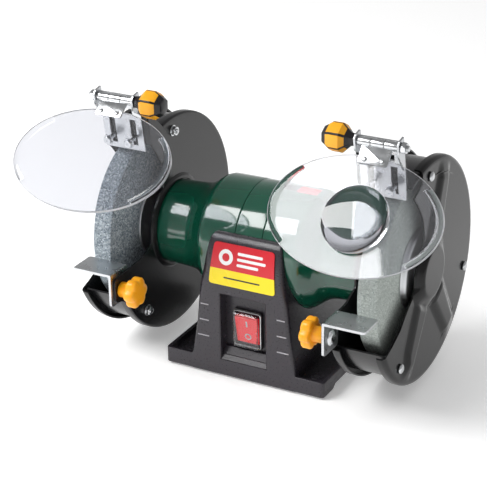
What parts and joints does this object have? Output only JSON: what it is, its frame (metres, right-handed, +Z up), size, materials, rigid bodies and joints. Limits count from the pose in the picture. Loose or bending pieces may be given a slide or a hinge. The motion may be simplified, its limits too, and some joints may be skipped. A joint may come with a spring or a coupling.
{
  "type": "bench grinder",
  "caption": "Compact bench grinder: motor on a pedestal, a guarded wheel at each end, sliding tool rests, tilting clear eye shields and a magnifying lens.",
  "frame": {"origin": "middle of the bounding box footprint, on the bench", "axes": "+X along the spindle to the right-hand wheel, front faces -Y, +Z up"},
  "size_m": [0.3542, 0.2226, 0.2322],
  "materials": {
    "black_plastic": "moulded ABS, fine satin grain",
    "green_enamel": "glossy enamel over cast aluminium",
    "black_enamel": "satin powder coat over pressed steel",
    "zinc_steel": "bright zinc plate",
    "plain_steel": "ground or laminated steel",
    "copper_wire": "varnished copper wire",
    "coarse_abrasive": "vitrified coarse grit, blue grey",
    "fine_abrasive": "vitrified fine grit, green grey",
    "orange_plastic": "moulded nylon",
    "clear_plastic": "clear polycarbonate",
    "switch_black": "moulded nylon",
    "switch_red": "moulded nylon",
    "rubber_black": "soft moulded rubber",
    "plate_red": "printed film on a thin plate",
    "can_aluminium": "drawn can"
  },
  "bodies": {
    "stand": {"base_housing": "black_plastic", "base_plate": "plain_steel", "name_plate": "plate_red", "switch_housing": "switch_black", "switch_cover": "clear_plastic", "cord_gland": "rubber_black", "run_capacitor": "can_aluminium", "stator_shell": "green_enamel", "stator_core": "plain_steel", "stator_winding": "copper_wire", "rubber_foot_front_left": "rubber_black", "rubber_foot_front_right": "rubber_black", "rubber_foot_rear_left": "rubber_black", "rubber_foot_rear_right": "rubber_black", "end_bell_left": "green_enamel", "end_bell_right": "green_enamel", "bearing_outer_ring_left": "plain_steel", "bearing_outer_ring_right": "plain_steel", "inner_guard_left": "black_enamel", "inner_guard_right": "black_enamel", "guard_cover_left": "black_enamel", "guard_cover_right": "black_enamel", "guard_bolt_top_left": "zinc_steel", "guard_bolt_top_right": "zinc_steel", "guard_bolt_front_left": "zinc_steel", "guard_bolt_front_right": "zinc_steel", "guard_bolt_rear_left": "zinc_steel", "guard_bolt_rear_right": "zinc_steel", "rest_bolt_left": "zinc_steel", "rest_bolt_right": "zinc_steel"},
    "rotor": {"spindle": "plain_steel", "rotor_core": "plain_steel", "bearing_inner_ring_left": "plain_steel", "bearing_inner_ring_right": "plain_steel", "inner_flange_left": "zinc_steel", "inner_flange_right": "zinc_steel", "grinding_wheel_left": "coarse_abrasive", "grinding_wheel_right": "fine_abrasive", "outer_flange_left": "zinc_steel", "outer_flange_right": "zinc_steel", "spindle_nut_left": "zinc_steel", "spindle_nut_right": "zinc_steel"},
    "ball_cage_left": {"bearing_ball_cage_left": "plain_steel"},
    "ball_cage_right": {"bearing_ball_cage_right": "plain_steel"},
    "rocker": {"switch_rocker": "switch_red"},
    "rest_left": {"tool_rest_left": "zinc_steel"},
    "knob_left": {"rest_knob_left": "orange_plastic"},
    "carrier_left": {"shield_bracket_left": "zinc_steel"},
    "shield_left": {"eye_shield_left": "clear_plastic", "shield_clip_left": "zinc_steel"},
    "clamp_left": {"shield_rod_left": "zinc_steel", "shield_handle_left": "orange_plastic"},
    "rest_right": {"tool_rest_right": "zinc_steel"},
    "knob_right": {"rest_knob_right": "orange_plastic"},
    "carrier_right": {"shield_bracket_right": "zinc_steel"},
    "shield_right": {"eye_shield_right": "clear_plastic", "shield_clip_right": "zinc_steel", "magnifier_lens": "clear_plastic"},
    "clamp_right": {"shield_rod_right": "zinc_steel", "shield_handle_right": "orange_plastic"}
  },
  "joints": [
    {"name": "shaft_spin", "type": "hinge", "parent": "stand", "child": "rotor", "pos_m": [0, 0.02027, 0.1024], "axis": [1, 0, 0], "continuous": true},
    {"name": "power_switch", "type": "hinge", "parent": "stand", "child": "rocker", "pos_m": [0, -0.02253, 0.0425], "axis": [-1, 0, 0], "range_deg": [0, 22]},
    {"name": "cage_spin_left", "type": "hinge", "parent": "stand", "child": "ball_cage_left", "pos_m": [-0.0778, 0.02027, 0.1024], "axis": [1, 0, 0], "continuous": true},
    {"name": "rest_slide_left", "type": "slide", "parent": "stand", "child": "rest_left", "axis": [0, -1, 0], "range_m": [0, 0.006]},
    {"name": "rest_knob_turn_left", "type": "hinge", "parent": "stand", "child": "knob_left", "pos_m": [-0.08, -0.06973, 0.07755], "axis": [1, 0, 0], "range_deg": [-360, 0]},
    {"name": "bracket_slide_left", "type": "slide", "parent": "stand", "child": "carrier_left", "axis": [0, 0.1736, -0.9848], "range_m": [-0.004, 0.004]},
    {"name": "shield_tilt_left", "type": "hinge", "parent": "carrier_left", "child": "shield_left", "pos_m": [-0.11185, -0.02973, 0.2204], "axis": [-1, 0, 0], "range_deg": [-28, 75]},
    {"name": "clamp_turn_left", "type": "hinge", "parent": "carrier_left", "child": "clamp_left", "pos_m": [-0.11185, -0.02973, 0.2204], "axis": [1, 0, 0], "range_deg": [0, 180]},
    {"name": "cage_spin_right", "type": "hinge", "parent": "stand", "child": "ball_cage_right", "pos_m": [0.0778, 0.02027, 0.1024], "axis": [1, 0, 0], "continuous": true},
    {"name": "rest_slide_right", "type": "slide", "parent": "stand", "child": "rest_right", "axis": [0, -1, 0], "range_m": [0, 0.006]},
    {"name": "rest_knob_turn_right", "type": "hinge", "parent": "stand", "child": "knob_right", "pos_m": [0.08, -0.06973, 0.07755], "axis": [1, 0, 0], "range_deg": [-360, 0]},
    {"name": "bracket_slide_right", "type": "slide", "parent": "stand", "child": "carrier_right", "axis": [0, 0.1736, -0.9848], "range_m": [-0.004, 0.004]},
    {"name": "shield_tilt_right", "type": "hinge", "parent": "carrier_right", "child": "shield_right", "pos_m": [0.11185, -0.02973, 0.2204], "axis": [-1, 0, 0], "range_deg": [-15, 88]},
    {"name": "clamp_turn_right", "type": "hinge", "parent": "carrier_right", "child": "clamp_right", "pos_m": [0.11185, -0.02973, 0.2204], "axis": [1, 0, 0], "range_deg": [0, 180]}
  ],
  "couplings": [
    {"joint": "cage_spin_left", "follows": "shaft_spin", "ratio": 0.38},
    {"joint": "cage_spin_right", "follows": "shaft_spin", "ratio": 0.38}
  ]
}
